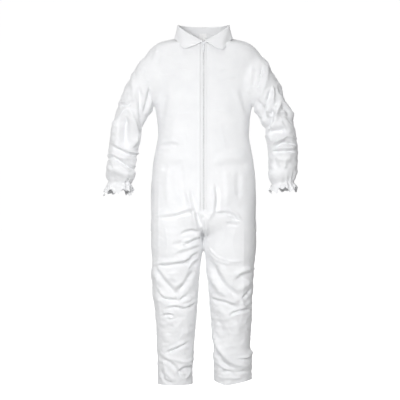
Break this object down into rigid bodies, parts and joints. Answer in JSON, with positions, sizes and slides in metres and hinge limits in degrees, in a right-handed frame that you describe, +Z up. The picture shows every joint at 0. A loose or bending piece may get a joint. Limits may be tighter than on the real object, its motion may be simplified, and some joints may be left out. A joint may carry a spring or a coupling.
{
  "type": "protective coverall",
  "caption": "Disposable nonwoven protective coverall with a turn-down collar, a full front zip, set-in sleeves with gathered wrists and straight legs.",
  "frame": {"origin": "on the centre plane inside the neck opening, 8 mm above the neck seam's front edge", "axes": "+Z up, the front faces -Y, +X is the wearer's left"},
  "size_m": [0.8184, 0.247, 1.4937],
  "materials": {
    "cloth": "matt white spunbonded nonwoven",
    "zip_tape": "matt woven tape",
    "zip_coil": "satin nylon coil",
    "zip_metal": "satin pale grey enamel",
    "elastic": "matt ribbed elastic",
    "label": "satin woven label, blank"
  },
  "bodies": {
    "torso": {"front_panel_left": "cloth", "front_panel_right": "cloth", "back_panel_left": "cloth", "back_panel_right": "cloth", "collar_stand": "cloth", "collar_fall": "cloth", "zipper_tape_left": "zip_tape", "zipper_tape_right": "zip_tape", "zipper_coil_left": "zip_coil", "zipper_coil_right": "zip_coil", "zipper_top_stop_left": "zip_metal", "zipper_top_stop_right": "zip_metal", "zipper_bottom_stop": "zip_metal", "neck_label": "label", "waist_elastic": "elastic"},
    "slider": {"zipper_slider": "zip_metal"},
    "pull_tab": {"zipper_pull_tab": "zip_metal"},
    "wing_left": {"collar_wing_left": "cloth"},
    "wing_right": {"collar_wing_right": "cloth"},
    "sleeve_left": {"sleeve_left": "cloth", "cuff_elastic_left": "elastic"},
    "sleeve_right": {"sleeve_right": "cloth", "cuff_elastic_right": "elastic"},
    "leg_left": {"leg_front_left": "cloth", "leg_back_left": "cloth", "ankle_hem_left": "cloth"},
    "leg_right": {"leg_front_right": "cloth", "leg_back_right": "cloth", "ankle_hem_right": "cloth"}
  },
  "joints": [
    {"name": "zip_slide", "type": "slide", "parent": "torso", "child": "slider", "axis": [0, -0.0619, -0.9981], "range_m": [0, 0.672]},
    {"name": "pull_tab_hinge", "type": "hinge", "parent": "slider", "child": "pull_tab", "pos_m": [0, -0.08338, -0.02002], "axis": [-1, 0, 0], "range_deg": [0, 165]},
    {"name": "collar_wing_left_fold", "type": "hinge", "parent": "torso", "child": "wing_left", "pos_m": [0.005, -0.087, -0.0076], "axis": [-0.7877, -0.4126, -0.4576], "range_deg": [0, 90]},
    {"name": "collar_wing_right_fold", "type": "hinge", "parent": "torso", "child": "wing_right", "pos_m": [-0.005, -0.087, -0.0076], "axis": [-0.7877, 0.4126, 0.4576], "range_deg": [0, 90]},
    {"name": "shoulder_left", "type": "hinge", "parent": "torso", "child": "sleeve_left", "pos_m": [0.251, 0, -0.056], "axis": [0, -1, 0], "range_deg": [0, 60]},
    {"name": "shoulder_right", "type": "hinge", "parent": "torso", "child": "sleeve_right", "pos_m": [-0.251, 0, -0.056], "axis": [0, 1, 0], "range_deg": [0, 60]},
    {"name": "hip_left", "type": "hinge", "parent": "torso", "child": "leg_left", "pos_m": [0.11, -0.002, -0.811], "axis": [-1, 0, 0], "range_deg": [-25, 60]},
    {"name": "hip_right", "type": "hinge", "parent": "torso", "child": "leg_right", "pos_m": [-0.11, -0.002, -0.811], "axis": [-1, 0, 0], "range_deg": [-25, 60]}
  ]
}
